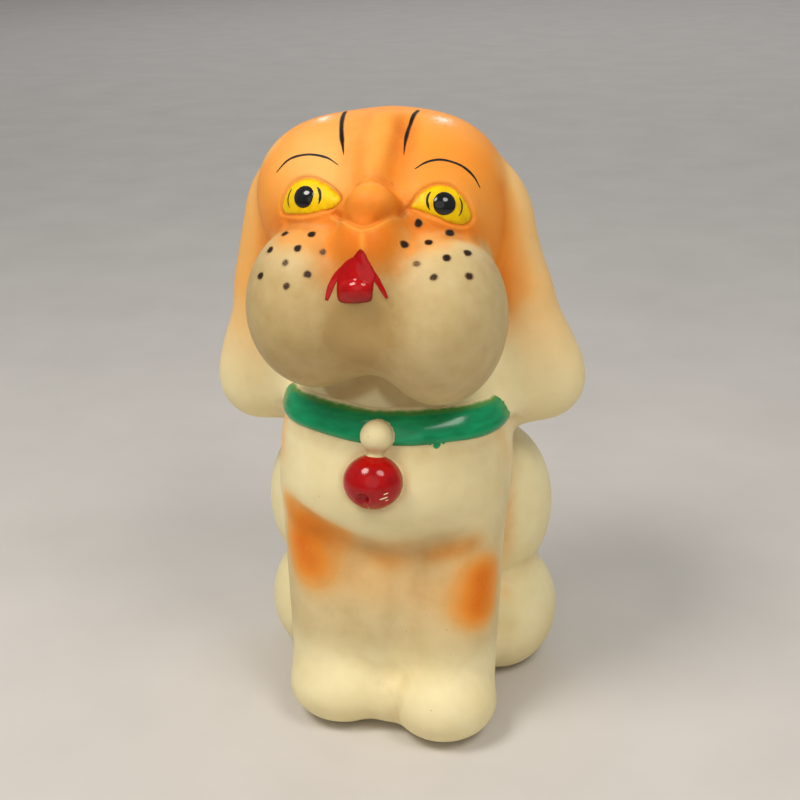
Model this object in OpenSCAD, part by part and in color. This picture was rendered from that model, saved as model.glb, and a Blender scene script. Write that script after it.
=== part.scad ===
// Squeaky toy dog: a hollow, soft vinyl figure moulded in one piece, with a reed squeaker in its base.
// The dog sits upright and faces -Y. +X is the dog's own left side. The base plane is z = 0.

/* [Figure] */
// Height of the dog from its base to its crown
toy_h = 170; // [155:1:185]
// Thickness of the moulded vinyl
wall = 2; // [1.6:0.1:2.4]
// Width over which neighbouring body forms melt into each other
blend_w = 6; // [3:0.5:9]

/* [Collar and bell] */
// Distance that the collar band stands out from the neck
collar_proud = 1.4; // [0.8:0.1:2]
// Height of the collar band
collar_w = 9; // [7:0.5:11]
// Diameter of the bead that hangs over the collar
bead_d = 8.6; // [7:0.1:10]
// Diameter of the bell under the bead
bell_d = 15; // [12:0.5:17]

/* [Squeaker] */
// Outer diameter of the squeaker cup, which is pressed into the hole in the base
cup_d = 15; // [14:0.5:16]
// Length of the squeaker cup from the underside of its flange
cup_l = 15; // [14:0.5:18]
// Diameter of the cup's flange
flange_d = 19; // [18.5:0.1:19.5]
// Thickness of the cup's flange
flange_t = 1.4; // [1.2:0.1:1.6]
// Thickness of the reed strip
reed_t = 0.25; // [0.2:0.01:0.3]
// Width of the reed strip
reed_w = 4; // [3.5:0.1:4.5]

/* [Hidden] */

vinyl = "#F0DFAC";
pale_plastic = "#E9E6DA";
grey_plastic = "#C9CCC8";
amber_film = "#D8B45A";

// ---- Body forms -------------------------------------------------------------------------------
// Each form is an ellipsoid: [centre x, y, z, radius x, y, z, lean of its axis in x and in y per mm of height].
// They are drawn for a dog 170 mm tall, and scaled to toy_h.
drawn_h = 170;
size = toy_h / drawn_h;

function mirrored(form) = [form, [for (i = [0:7]) (i == 0 || i == 6) ? -form[i] : form[i]]];

body_forms = [
    [1, 6, 58, 30, 27, 46, 0, 0],           // trunk
    [1, 5, 12, 31, 33, 16, 0, 0],           // seat
    [1, -9, 76, 29.5, 23, 24, 0, 0.14],     // chest
    [1, -12, 63, 25, 20, 16, 0, 0],         // belly
    [1, 22, 30, 28, 20.4, 32, 0, 0],        // rump
    [0, 14, 74, 27, 20, 38, 0, 0],          // back
    [0, 3, 98, 26, 24, 20, 0, 0],           // neck
    [1, -10, 34, 13, 15, 38, 0, 0],         // web between the forelegs
    [20, -4, 80, 12, 16, 20, 0, 0],         // left shoulder
    [-18.5, -4, 80, 12, 16, 20, 0, 0],      // right shoulder
    [18, -18, 42, 14.5, 14.5, 46, 0.03, 0.14],    // left foreleg
    [-16, -16, 42, 14.5, 14.5, 46, -0.02, 0.08],  // right foreleg
    [16, -28, 10, 15.5, 14.5, 11, 0, 0],    // left forefoot, a little ahead of the right
    [-14, -23.5, 10, 15, 14.5, 11, 0, 0],   // right forefoot
    [25.5, 18, 50, 19, 21, 25, 0, 0],       // left thigh
    [-24.5, 18, 50, 19, 21, 25, 0, 0],      // right thigh
    [27, 14, 17, 18.5, 20, 20, 0, 0],       // left hind foot
    [-25.5, 14, 17, 18.5, 20, 20, 0, 0],    // right hind foot
    [8, 36, 9, 15, 6.5, 6.5, 0, 0]          // tail, curled along the ground
];

head_forms = [
    [0, 6, 136, 31, 31, 34, 0, 0],          // skull
    [16.5, -21, 120.5, 18, 22, 22.5, 0, 0], // left cheek
    [-15.5, -21, 122.5, 18.5, 22, 22, 0, 0],// right cheek
    [0, -24, 133, 12, 16, 15, 0, 0],        // snout
    [0, -20, 117, 13, 18, 12, 0, 0],        // chin
    [0, -11, 155, 9, 15, 11, 0, 0]          // ridge up the forehead
];
nose_d = 13;

paired_head_forms = [
    [14.5, 4, 147, 16.5, 22, 18.5, 0, 0],   // side of the crown
    [28.5, 8, 138, 10.5, 11, 22, -0.05, 0], // root of the ear
    [34, 9, 116, 9, 9.5, 22, -0.2, 0],      // middle of the ear
    [38, 10, 97, 15, 10, 17.5, -0.4, 0],    // tip of the ear
    [27, 10, 98, 14, 12, 18, 0, 0]          // web from the ear to the shoulder
];

forms = concat(body_forms, head_forms, [for (f = paired_head_forms) each mirrored(f)]);

// ---- Skin: the outline round the spine, level by level ----------------------------------------
spine = [0, 6];
levels = 48;
rays = 44;
level_step = drawn_h / levels;
// The hollow starts and ends this many levels inside the outer skin
floor_levels = 1;
crown_levels = 2;

// Distance from the spine to the far side of a form at height z, towards angle a; 0 where the ray misses it
function reach(form, z, a, inset) =
    let (t = (z - form[2]) / (form[5] - inset))
    abs(t) >= 1 ? 0 :
    let (
        k = sqrt(1 - t * t),
        rx = (form[3] - inset) * k,
        ry = (form[4] - inset) * k,
        px = (spine[0] - form[0] - form[6] * (z - form[2])) / rx,
        py = (spine[1] - form[1] - form[7] * (z - form[2])) / ry,
        dx = cos(a) / rx,
        dy = sin(a) / ry,
        qa = dx * dx + dy * dy,
        qb = px * dx + py * dy,
        root = qb * qb - qa * (px * px + py * py - 1)
    )
    root <= 0 ? 0 : max(0, (sqrt(root) - qb) / qa);

// Larger of two reaches, with the step between them rounded over the blend width
function melt(a, b) =
    let (h = max(blend_w - abs(a - b), 0) / blend_w)
    max(a, b) + h * h * blend_w / 4;

function widest(reaches, i = 0, r = 0) =
    i == len(reaches) ? r :
    widest(reaches, i + 1, reaches[i] <= 0 ? r : r <= 0 ? reaches[i] : melt(r, reaches[i]));

// Collar: a band that dips towards the front of the neck
collar_mid_z = 92.5;
collar_dip = 1.5;
function collar_at(z, a) =
    let (
        mid = collar_mid_z + collar_dip * sin(a),
        t = abs(z - mid) / (collar_w / 2)
    )
    t < 1 ? collar_proud * sqrt(1 - t * t) : 0;

function skin_radius(z, a, inset) =
    widest([for (f = forms) reach(f, z, a, inset)]) + (inset > 0 ? 0 : collar_at(z, a));

function ring(z, inset) = [
    for (j = [0:rays - 1])
        let (a = 360 * j / rays, r = skin_radius(z, a, inset))
        size * [spine[0] + r * cos(a), spine[1] + r * sin(a), z]
];

// Closed skin from level first to level last, with a flat bottom and an apex at apex_z. Both ends fan out from the
// spine, which is the squeaker's axis too, so the squeaker's bores cross the fan square to its edges.
module skin(first, last, apex_z, inset) {
    rings = last - first;
    points = concat(
        [for (i = [first:last]) each ring(i * level_step, inset)],
        [size * [spine[0], spine[1], apex_z]],
        [size * [spine[0], spine[1], first * level_step]]
    );
    apex = len(points) - 2;
    hub = len(points) - 1;
    sides = [
        for (i = [0:rings - 1], j = [0:rays - 1])
            let (k = (j + 1) % rays, low = i * rays, high = low + rays)
            each [[low + j, high + j, high + k], [low + j, high + k, low + k]]
    ];
    cap = [for (j = [0:rays - 1]) [rings * rays + j, apex, rings * rays + (j + 1) % rays]];
    bottom = [for (j = [0:rays - 1]) [j, (j + 1) % rays, hub]];
    polyhedron(points, concat(bottom, sides, cap), convexity = 8);
}

// ---- Squeaker layout, along its own upright axis -----------------------------------------------
squeaker_xy = [0, 6] * size;
flange_inset = 0.4;
recess_gap = 0.4;
pad_d = flange_d + 8;
pad_h = 7;
barb_out = 0.9;
barb_h = 1.6;
vent_d = 5;
cup_floor = 2;
chamber_d = 11;
grille_t = 2;
clamp_l = 3.8;
clamp_gap = 0.2;
reed_swing_gap = 0.7;
trough_w = 3;
trough_depth = 2.2;
inlet_d = 2.4;
grille_hole_d = 1.8;
grille_ring_r = 3.2;
grille_holes = 5;

cup_top = flange_inset + cup_l;
chamber_floor = flange_inset + cup_floor;
clamp_top = cup_top - grille_t;
clamp_bottom = clamp_top - clamp_l;
reed_bottom = chamber_floor + 0.8;
reed_top = clamp_top - 0.2;
trough_top = clamp_bottom - 0.6;

module on_squeaker_axis() {
    translate([squeaker_xy[0], squeaker_xy[1], 0]) children();
}

// Half of the chamber's round section, cut back from the reed's plane: side is 1 behind it, -1 in front of it
module half_plug(z0, z1, gap, side) {
    width = chamber_d + 2;
    intersection() {
        translate([0, 0, z0]) cylinder(h = z1 - z0, d = chamber_d, $fn = 48);
        translate([-width / 2, side > 0 ? gap : -gap - width, z0 - 1]) cube([width, width, z1 - z0 + 2]);
    }
}

// ---- Sub-parts ----------------------------------------------------------------------------------
// Ball that stands out from the front of the figure, with its poles facing forward and back
module boss(centre, d) {
    translate(size * centre) rotate([90, 0, 0]) sphere(d = d, $fn = 32);
}

module vinyl_shell() {
    color(vinyl)
        difference() {
            union() {
                skin(0, levels - 1, drawn_h, 0);
                boss([0, -25, 150.5], nose_d * size);
                boss([0, -29.5, 90.5], bead_d);
                boss([-0.5, -32.5, 78.8], bell_d);
            }
            // The hollow, less a thick pad of vinyl round the squeaker hole on the inside of the base
            difference() {
                skin(floor_levels, levels - 1 - crown_levels, drawn_h - 2.2 * wall, wall);
                on_squeaker_axis() cylinder(h = pad_h, d = pad_d, $fn = 48);
            }
            on_squeaker_axis() {
                translate([0, 0, -1]) cylinder(h = pad_h + 2, d = cup_d, $fn = 48);
                translate([0, 0, -1])
                    cylinder(h = 1 + flange_inset + flange_t, d = flange_d + 2 * recess_gap, $fn = 48);
            }
        }
}

module squeaker_cup() {
    color(pale_plastic)
        on_squeaker_axis()
            difference() {
                union() {
                    translate([0, 0, flange_inset]) cylinder(h = cup_l, d = cup_d, $fn = 48);
                    translate([0, 0, flange_inset]) cylinder(h = flange_t, d = flange_d, $fn = 48);
                    // Barb that snaps over the inner face of the vinyl pad
                    translate([0, 0, pad_h + 0.1])
                        cylinder(h = barb_h, d1 = cup_d + 2 * barb_out, d2 = cup_d, $fn = 48);
                }
                translate([0, 0, flange_inset - 1]) cylinder(h = cup_floor + 2, d = vent_d, $fn = 32);
                translate([0, 0, chamber_floor]) cylinder(h = cup_l, d = chamber_d, $fn = 48);
            }
}

module reed_bed() {
    color(grey_plastic)
        on_squeaker_axis()
            difference() {
                union() {
                    half_plug(chamber_floor, clamp_bottom, reed_t / 2 + reed_swing_gap, 1);
                    half_plug(clamp_bottom, clamp_top, reed_t / 2 + clamp_gap, 1);
                }
                // Air trough behind the reed, open at the bottom towards the vent
                translate([-trough_w / 2, 0, chamber_floor - 1])
                    cube([trough_w, reed_swing_gap + trough_depth, trough_top - chamber_floor + 1]);
            }
}

module reed() {
    color(amber_film)
        on_squeaker_axis()
            translate([-reed_w / 2, -reed_t / 2, reed_bottom])
                cube([reed_w, reed_t, reed_top - reed_bottom]);
}

module reed_wedge() {
    color(grey_plastic)
        on_squeaker_axis()
            difference() {
                half_plug(clamp_bottom, clamp_top, reed_t / 2 + clamp_gap, -1);
                // Inlet that lets the toy's air down in front of the reed
                translate([0, -chamber_d / 4 - 0.5, clamp_bottom - 1]) cylinder(h = clamp_l + 2, d = inlet_d, $fn = 32);
            }
}

module squeaker_grille() {
    color(pale_plastic)
        on_squeaker_axis()
            difference() {
                translate([0, 0, clamp_top]) cylinder(h = grille_t, d = chamber_d, $fn = 48);
                for (i = [0:grille_holes - 1])
                    rotate(360 * i / grille_holes - 90)
                        translate([grille_ring_r, 0, clamp_top - 1])
                            cylinder(h = grille_t + 2, d = grille_hole_d, $fn = 24);
            }
}

vinyl_shell();
squeaker_cup();
reed_bed();
reed();
reed_wedge();
squeaker_grille();
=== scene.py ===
"""Looks of the squeaky toy dog: a painted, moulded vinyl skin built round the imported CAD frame.

The dog sits on z = 0 and faces -Y. Shapes are drawn in millimetres for a dog 170 mm tall and scaled to the
frame.
"""

import bpy
import numpy as np
from mathutils import Matrix, Vector


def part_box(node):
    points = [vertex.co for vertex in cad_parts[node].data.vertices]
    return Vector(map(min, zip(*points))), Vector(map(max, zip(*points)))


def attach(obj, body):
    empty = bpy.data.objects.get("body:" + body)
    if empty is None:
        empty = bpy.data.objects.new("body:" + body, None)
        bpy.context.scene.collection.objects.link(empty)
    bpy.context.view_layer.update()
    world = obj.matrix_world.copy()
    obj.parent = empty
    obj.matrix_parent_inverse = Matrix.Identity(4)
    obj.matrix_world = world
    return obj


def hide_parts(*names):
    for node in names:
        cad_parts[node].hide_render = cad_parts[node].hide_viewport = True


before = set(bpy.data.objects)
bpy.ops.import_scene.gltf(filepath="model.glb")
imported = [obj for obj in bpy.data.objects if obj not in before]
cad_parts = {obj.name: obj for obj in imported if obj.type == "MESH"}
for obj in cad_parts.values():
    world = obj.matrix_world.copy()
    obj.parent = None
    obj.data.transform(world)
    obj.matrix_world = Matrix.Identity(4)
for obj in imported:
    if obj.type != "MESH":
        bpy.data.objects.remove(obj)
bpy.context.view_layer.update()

shell_low, shell_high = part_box("vinyl_shell")
cup_low, cup_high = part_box("squeaker_cup")

DRAWN_H = 170.0  # height of the dog as drawn, in millimetres
METRES = (shell_high.z - shell_low.z) / DRAWN_H  # metres for each drawn millimetre
WALL = 2.0  # thickness of the vinyl

# ================ Sculpt ================
# A distance field in drawn millimetres, negative inside. Forms melt into each other, then relief is
# pressed into the result or raised from it.
FAR = 60.0  # value of the field well away from every form
FORM_REACH = 10.0  # a form is only evaluated this close to its own bounds


def unit(v):
    v = np.asarray(v, float)
    return v / np.linalg.norm(v)


def tilt_matrix(rx, ry, rz):
    a, b, c = np.radians((rx, ry, rz))
    about_x = np.array([[1, 0, 0], [0, np.cos(a), -np.sin(a)], [0, np.sin(a), np.cos(a)]])
    about_y = np.array([[np.cos(b), 0, np.sin(b)], [0, 1, 0], [-np.sin(b), 0, np.cos(b)]])
    about_z = np.array([[np.cos(c), -np.sin(c), 0], [np.sin(c), np.cos(c), 0], [0, 0, 1]])
    return about_z @ about_y @ about_x


def blend_min(a, b, width):
    h = np.maximum(width - np.abs(a - b), 0.0) / width
    return np.minimum(a, b) - h * h * width * 0.25


def blend_max(a, b, width):
    return -blend_min(-a, -b, width)


def smooth_step(x, low, high):
    t = np.clip((x - low) / (high - low), 0, 1)
    return t * t * (3 - 2 * t)


def hump(x, width):
    return np.exp(-((x / width) ** 2))


def near(points, centre, reach):
    off = points - centre
    return (off * off).sum(1) < reach * reach


def along_segment(points, start, end):
    """Share of the way along a segment, and distance from it."""
    start, end = np.array(start, float), np.array(end, float)
    along = end - start
    t = np.clip((points - start) @ along / (along @ along), 0, 1)
    return t, np.linalg.norm(points - start - t[:, None] * along, axis=1)


def from_path(points, path):
    """Distance from a path of straight pieces."""
    return np.min([along_segment(points, a, b)[1] for a, b in zip(path[:-1], path[1:])], axis=0)


class Ball:
    """Ellipsoid form: centre, radii, tilt in degrees about x, y, z."""

    def __init__(self, centre, radii, tilt=(0, 0, 0)):
        self.centre = np.array(centre, float)
        self.radii = np.array(radii, float)
        self.turn = tilt_matrix(*tilt)
        self.bound = max(radii)

    def distance(self, points):
        local = (points - self.centre) @ self.turn
        near_unit = local / self.radii
        slope = near_unit / self.radii
        k0 = np.sqrt((near_unit * near_unit).sum(1))
        k1 = np.sqrt((slope * slope).sum(1))
        return k0 * (k0 - 1.0) / np.maximum(k1, 1e-9)


class Limb:
    """Round cone between two balls."""

    def __init__(self, start, end, start_r, end_r):
        self.start, self.end = np.array(start, float), np.array(end, float)
        self.start_r, self.end_r = start_r, end_r
        self.centre = (self.start + self.end) / 2
        self.bound = np.linalg.norm(self.end - self.start) / 2 + max(start_r, end_r)

    def distance(self, points):
        t, gap = along_segment(points, self.start, self.end)
        return gap - (self.start_r + (self.end_r - self.start_r) * t)


# (blend width, form), in the order in which they melt together
BODY_FORMS = [
    (1, Ball((1, 6, 58), (30, 27, 46))),  # trunk
    (8, Ball((1, 5, 12), (30, 32, 15))),  # seat
    (8, Ball((1, -9, 76), (29.5, 23, 24), (-8, 0, 0))),  # chest
    (8, Ball((20, -4, 80), (12, 16, 20))),  # shoulders
    (8, Ball((-18.5, -4, 80), (12, 16, 20))),
    (6, Limb((18.5, -12.5, 66), (17, -20.5, 18), 14, 13.5)),  # forelegs
    (6, Limb((-16.5, -12.5, 66), (-15.5, -18, 18), 14, 13)),
    (7, Ball((-1, -13, 32), (13, 18.4, 36))),  # web between the forelegs
    (4, Ball((16.6, -28, 10), (15, 14, 11))),  # forefeet
    (4, Ball((-13.2, -23, 10), (15.4, 14, 11))),
    (5, Ball((2, -22, 9), (9, 12.5, 9))),  # web between the forefeet
    (6, Ball((24.8, 18, 50), (18.5, 21, 25), (-6, 0, 0))),  # thighs
    (6, Ball((-24, 18, 50), (19, 21, 25), (-6, 0, 0))),
    (4, Ball((27.5, 14, 17), (18, 20, 20))),  # hind feet
    (4, Ball((-25, 14, 17), (18, 20, 20))),
    (8, Ball((1, 21.5, 30), (28, 20.4, 32))),  # rump
    (8, Ball((0, 14, 74), (27, 20, 38))),  # back
    (8, Ball((0, 3, 98), (26, 24, 20))),  # neck
    (4, Limb((2, 37, 9), (17, 33.5, 10), 5.5, 4.2)),  # tail, curled along the ground
    (2, Ball((1, -12.4, 71), (29.2, 21, 20.5))),  # belly, overhanging the forelegs
]
HEAD_FORMS = [
    (6, Ball((-0.5, 6, 136.3), (31, 31, 32.7))),  # skull
    (8, Ball((13.4, 4, 146.4), (16.5, 22, 18.5))),  # sides of the crown
    (8, Ball((-18.1, 4, 146.9), (18.5, 22, 18.8))),
    (4, Ball((16, -21, 120.5), (17.4, 22, 22.5))),  # cheeks
    (4, Ball((-15.5, -21, 123.3), (18.5, 22, 21.6))),
    (6, Ball((0, -24, 133), (12, 16, 15))),  # snout
    (6, Ball((0, -20, 118.5), (13, 18, 12))),  # chin
    (2.5, Ball((27, 9, 135), (11, 10.5, 20), (0, -5, 0))),  # ears: root, middle, tip, web to the shoulder
    (2.5, Ball((-31.5, 9, 136), (11.5, 10.5, 20), (0, 4, 0))),
    (4, Ball((34.5, 9, 117), (9, 9.5, 22), (0, -14, 0))),
    (4, Ball((-37, 9, 117), (10.5, 9.5, 24), (0, 6, 0))),
    (7, Ball((37.8, 10, 98), (13.0, 9.5, 16), (0, -24, 0))),
    (7, Ball((-38.5, 10, 96.5), (14.5, 9.5, 16.5), (0, 20, 0))),
    (6, Ball((40.4, 10, 93), (10, 8.5, 9.5))),
    (6, Ball((-42.5, 10, 88.5), (10.5, 8.5, 10))),
    (8, Ball((27, 10, 97), (15, 12, 17))),
    (8, Ball((-27, 10, 97), (15, 12, 17))),
    (4, Ball((-11.4, -10, 143.5), (14, 14, 14))),  # behind the eyes
    (4, Ball((11.6, -10, 142.7), (14, 14, 14))),
    (6, Limb((0.2, -25.5, 149), (-0.2, -31.5, 143.5), 6.2, 5.2)),  # slope from the nose to the mouth
    (5, Limb((0, -18, 155.5), (0, -3, 163), 4.6, 5.5)),  # ridge from the nose up the forehead
    (1.6, Ball((0.7, -26.9, 150.9), (6.2, 6.6, 5.9))),  # nose
]

COLLAR_MID, COLLAR_SLOPE, COLLAR_HALF = 91.7, -0.025, 3.7  # height, rise for each mm of x, half its width
COLLAR_PROUD, COLLAR_BEVEL, COLLAR_JOIN = 1.5, 2.6, 0.7
BEAD = Ball((0.3, -30.0, 90.6), (4.3, 4.3, 4.3))
BELL = Ball((-0.4, -33.0, 78.9), (7.8, 7.0, 7.2))
BELL_HOLE = Ball((-1.9, -39.7, 77.0), (1.7, 1.9, 1.6))
BELL_SLIT = Limb((-1.9, -39.8, 76.6), (-1.3, -36.6, 71.6), 0.6, 0.85)
BELL_HOLE_LIP, BELL_SLIT_LIP, BEAD_TO_BELL, BELL_TO_BODY = 0.9, 0.6, 2.2, 0.8  # blend widths
BASE_ROUND = 2.0  # rounding where the sides meet the base


class Patch:
    """A flat frame laid against the dog: u runs towards the dog's left, v upwards, n outwards."""

    def __init__(self, origin, normal, roll=0.0):
        self.origin, self.n = np.array(origin, float), unit(normal)
        side, turn = unit(np.cross((0, 0, 1), self.n)), np.radians(roll)
        up = np.cross(self.n, side)
        self.u = np.cos(turn) * side + np.sin(turn) * up
        self.v = np.cos(turn) * up - np.sin(turn) * side

    def local(self, points):
        off = points - self.origin
        return off @ self.u, off @ self.v

    def world(self, u, v, n=0.0):
        u, v = np.asarray(u, float), np.asarray(v, float)
        return self.origin + u[..., None] * self.u + v[..., None] * self.v + n * self.n


def spline(points, at):
    """Points on the smooth curve through control points; at 0 is the second of them, and so on."""
    first, t = at.astype(int), (at % 1)[:, None]
    a, b, c, d = (points[(first + k) % len(points)] for k in range(4))
    return b + 0.5 * t * (c - a + t * (2 * a - 5 * b + 4 * c - d + t * (3 * (b - c) + d - a)))


def closed_spline(points, samples):
    """Smooth closed curve that starts at the first control point."""
    return spline(np.roll(np.array(points, float), 1, axis=0), np.arange(samples) * len(points) / samples)


def open_spline(points, samples):
    """Smooth curve from the first control point to the last."""
    points = np.array(points, float)
    padded = np.vstack([2 * points[0] - points[1], points, 2 * points[-1] - points[-2]])
    return spline(padded, np.linspace(0, len(points) - 1 - 1e-9, samples))


class Outline:
    """A closed outline in a patch that every ray from its middle crosses once."""

    def __init__(self, points, samples=96):
        self.curve = closed_spline(points, samples)
        angle = np.arctan2(self.curve[:, 1], self.curve[:, 0])
        order = np.argsort(angle)
        self.angle, self.radius = angle[order], np.linalg.norm(self.curve, axis=1)[order]

    def measure(self, u, v):
        """Rough distance outside the outline, and share of the way from the middle to the outline."""
        out, reach = np.hypot(u, v), np.interp(np.arctan2(v, u), self.angle, self.radius, period=2 * np.pi)
        return out - reach, out / reach


# Eye outlines: hand-painted almonds, a little different from each other
EYES = {
    "right": (
        Patch((-17.6, -19.6, 149.9), (-0.46, -0.72, 0.48)),
        Outline([(10.2, 2.0), (6.5, 4.4), (3, 5.3), (0, 5.4), (-2.5, 4.6), (-4.7, 2.9), (-6.1, 0.3),
                 (-7.0, -2.3), (-6.6, -4.2), (-4.6, -4.6), (-2.6, -4.5), (0.6, -4.1), (3.5, -3.3),
                 (6, -2.0), (8.7, -0.6)]),
    ),
    "left": (
        Patch((17.2, -19.6, 149.2), (0.42, -0.72, 0.50)),
        Outline([(-8.6, 0.5), (-7.3, 2.3), (-5.5, 3.8), (-3.2, 4.7), (-0.6, 4.8), (2, 4.0), (3.9, 2.3),
                 (5.6, 0.2), (6.5, -2.0), (6.7, -4.0), (4.8, -5.4), (2.4, -5.5), (-0.2, -4.7),
                 (-2.3, -3.4), (-4.9, -1.9), (-6.9, -0.6)]),
    ),
}
EYE_DOME = 0.95
# Grooves and ridges round an eye: distance outside the outline, width, depth
EYE_RIMS = [(0.0, 0.5, 0.16), (1.1, 0.9, -0.34), (2.6, 1.6, -0.3)]

FACE = Patch((0, -30, 145), (0, -0.85, 0.53))
# Lines of the face: path in the face's frame, width, depth (negative stands out)
FACE_LINES = [
    # the groove under the nose, with a ridge along it, and the ridge from there to the mouth
    ([(-9.3, 5.0), (-5.9, 2.4), (-2.9, 0.2), (-0.2, -1.0),
      (2.1, 0.0), (4.1, 1.7), (6.6, 4.2), (8.6, 6.4)], 1.0, 0.55),
    ([(-9.5, 4.0), (-5.9, 1.4), (-2.9, -0.8), (-0.2, -2.0),
      (2.1, -1.0), (4.1, 0.7), (6.6, 3.2), (8.6, 5.6)], 0.55, -0.3),
    ([(-0.2, -2.0), (0.0, -4.2), (0.2, -6.2)], 0.65, -0.3),
    # the groove over the nose
    ([(-6.3, 4.6), (-6.4, 7.6), (-3.9, 10.8), (0.9, 12.2), (5.6, 11.0), (7.9, 8.0), (7.8, 5.2)], 1.3, 0.4),
]
MOUTH = Patch((-0.3, -38.5, 136.0), (0.0, -0.93, 0.37))
TONGUE_MID, TONGUE_HALF, TONGUE_DOME = (-1.5, -3.6), (4.4, 2.9), 1.5
LIP_PEAK, LIP_SPREAD, LIP_GROOVE = (-1.2, 6.0), 0.68, 0.12
FACE_REACH, EYE_REACH, MOUTH_REACH, BELL_REACH = 14, 15, 15, 20  # how far from each its relief is worked out

# Soft creases (positive depth) and ridges (negative): start, end, width, depth
CREASES = [
    ((5.6, -24, 156), (5.2, -4, 166), 3.2, 1.5),  # beside the forehead ridge
    ((-6.0, -24, 156), (-6.0, -4, 166), 3.4, 0.7),
    ((9.5, -28.5, 146.4), (22, -22, 142.5), 1.8, 0.7),  # where the cheeks meet the lower lids
    ((-9.0, -29, 146.6), (-22, -22, 144.0), 1.8, 0.7),
    ((-25, -25, 66), (-11, -30, 59.4), 2.4, 1.3),  # under the belly
    ((-11, -30, 59.4), (4.8, -30, 55.2), 2.6, 1.5),
    ((4.8, -30, 55.2), (24.3, -27.5, 61), 2.6, 1.5),
    ((4.5, -31, 54), (4, -32, 18), 3.2, 1.3),  # between the forelegs
    ((3.5, -36, 13), (3, -35, 2), 2.2, 1.2),  # between the forefeet
    ((30, -4, 66), (31, -4, 20), 4.0, 1.2),  # between foreleg and thigh
    ((-29, -4, 66), (-30, -4, 20), 4.0, 1.2),
    ((31, -1, 148), (34, -2, 124), 2.6, 0.5),  # between the head and the ears
    ((-32, -1, 148), (-35, -2, 124), 2.6, 0.5),
    ((34, -4, 122), (30, -6, 104), 3.0, 0.9),
    ((-34, -4, 122), (-30, -6, 104), 3.0, 0.9),
]


def melt_forms(field, points, forms):
    for width, form in forms:
        close = near(points, form.centre, form.bound + FORM_REACH)
        if close.any():
            field[close] = blend_min(field[close], form.distance(points[close]), width)
    return field


def crease_relief(points, start, end, width, depth):
    return depth * hump(along_segment(points, start, end)[1], width)


def face_relief(points):
    local = np.stack(FACE.local(points), 1)
    return sum(depth * hump(from_path(local, path), width) for path, width, depth in FACE_LINES)


def eye_relief(points, patch, outline):
    edge, share = outline.measure(*patch.local(points))
    rims = sum(depth * hump(edge - out, width) for out, width, depth in EYE_RIMS)
    return rims - EYE_DOME * np.clip(1 - share * share, 0, 1)


def mouth_relief(points):
    """The domed tongue, and a shallow groove inside the lips that fades out at both ends."""
    u, v = MOUTH.local(points)
    share = np.hypot((u - TONGUE_MID[0]) / TONGUE_HALF[0], (v - TONGUE_MID[1]) / TONGUE_HALF[1])
    below = LIP_PEAK[1] - v
    groove = hump(np.abs(u - LIP_PEAK[0]) - LIP_SPREAD * below + 1.2, 1.1)
    groove = groove * smooth_step(v, -8, -5) * smooth_step(below, 0, 2)
    return LIP_GROOVE * groove - TONGUE_DOME * np.clip(1 - share * share, 0, 1)


def press_relief(field, points):
    """Adds all relief, each piece of it worked out only for the points near it."""
    reliefs = [(FACE.origin, FACE_REACH, face_relief, ()), (MOUTH.origin, MOUTH_REACH, mouth_relief, ())]
    reliefs += [(patch.origin, EYE_REACH, eye_relief, (patch, outline)) for patch, outline in EYES.values()]
    for crease in CREASES:
        start, end, width = np.array(crease[0]), np.array(crease[1]), crease[2]
        reach = np.linalg.norm(end - start) / 2 + 3 * width
        reliefs.append(((start + end) / 2, reach, crease_relief, crease))
    for centre, reach, relief, details in reliefs:
        close = near(points, centre, reach)
        if close.any():
            field[close] += relief(points[close], *details)
    return field


def collar_height(points):
    """Height above the collar's middle."""
    return points[:, 2] - (COLLAR_MID + COLLAR_SLOPE * points[:, 0])


def body_field(points):
    return melt_forms(np.full(len(points), FAR), points, BODY_FORMS)


def collared_field(points):
    """The body, with the collar standing out from it as a band."""
    body = body_field(points)
    band = blend_max(body - COLLAR_PROUD, np.abs(collar_height(points)) - COLLAR_HALF, COLLAR_BEVEL)
    return blend_min(body, band, COLLAR_JOIN)


def bell_field(points):
    holed = blend_max(BELL.distance(points), -BELL_HOLE.distance(points), BELL_HOLE_LIP)
    return blend_max(holed, -BELL_SLIT.distance(points), BELL_SLIT_LIP)


def dog_field(points):
    """Outer skin of the moulded dog."""
    field = press_relief(melt_forms(collared_field(points), points, HEAD_FORMS), points)
    close = near(points, BELL.centre, BELL_REACH)
    if close.any():
        hung = blend_min(BEAD.distance(points[close]), bell_field(points[close]), BEAD_TO_BELL)
        field[close] = blend_min(field[close], hung, BELL_TO_BODY)
    return blend_max(field, -points[:, 2], BASE_ROUND)


# ================ Meshing ================
# Surface nets on a grid, finer triangles where there is detail, then each vertex moved onto the skin.
BLOCK = 8  # grid points along the side of a block that is sampled or skipped as one
HALF_DIAGONAL = 0.87  # of a cube, for each unit of its side
RELIEF_SLACK = 2.0  # how far relief can move the surface from what a block's middle says
GRID_LOW, GRID_HIGH = np.array([-58.0, -48.0, -3.1]), np.array([58.0, 48.0, 174.0])


def sample_near_surface(field, low, high, step):
    """Grid of field values: true near the surface, only the sign elsewhere."""
    counts = np.ceil((high - low) / step).astype(int) + 1
    starts = [np.arange(0, n, BLOCK) for n in counts]
    middles = [low[i] + step * np.minimum(starts[i] + BLOCK / 2, counts[i] - 1) for i in range(3)]
    centres = np.stack(np.meshgrid(*middles, indexing="ij"), -1).reshape(-1, 3)
    coarse = field(centres).reshape([len(s) for s in starts])
    live = np.abs(coarse) < step * BLOCK * HALF_DIAGONAL + RELIEF_SLACK
    inside = tuple(slice(0, n) for n in counts)
    block = np.ones((BLOCK, BLOCK, BLOCK))
    values = np.kron(np.sign(coarse), block)[inside].copy()
    mask = np.kron(live, block)[inside] > 0
    values[mask] = np.concatenate([field(low + step * part) for part in np.array_split(np.argwhere(mask), 8)])
    return values


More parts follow.
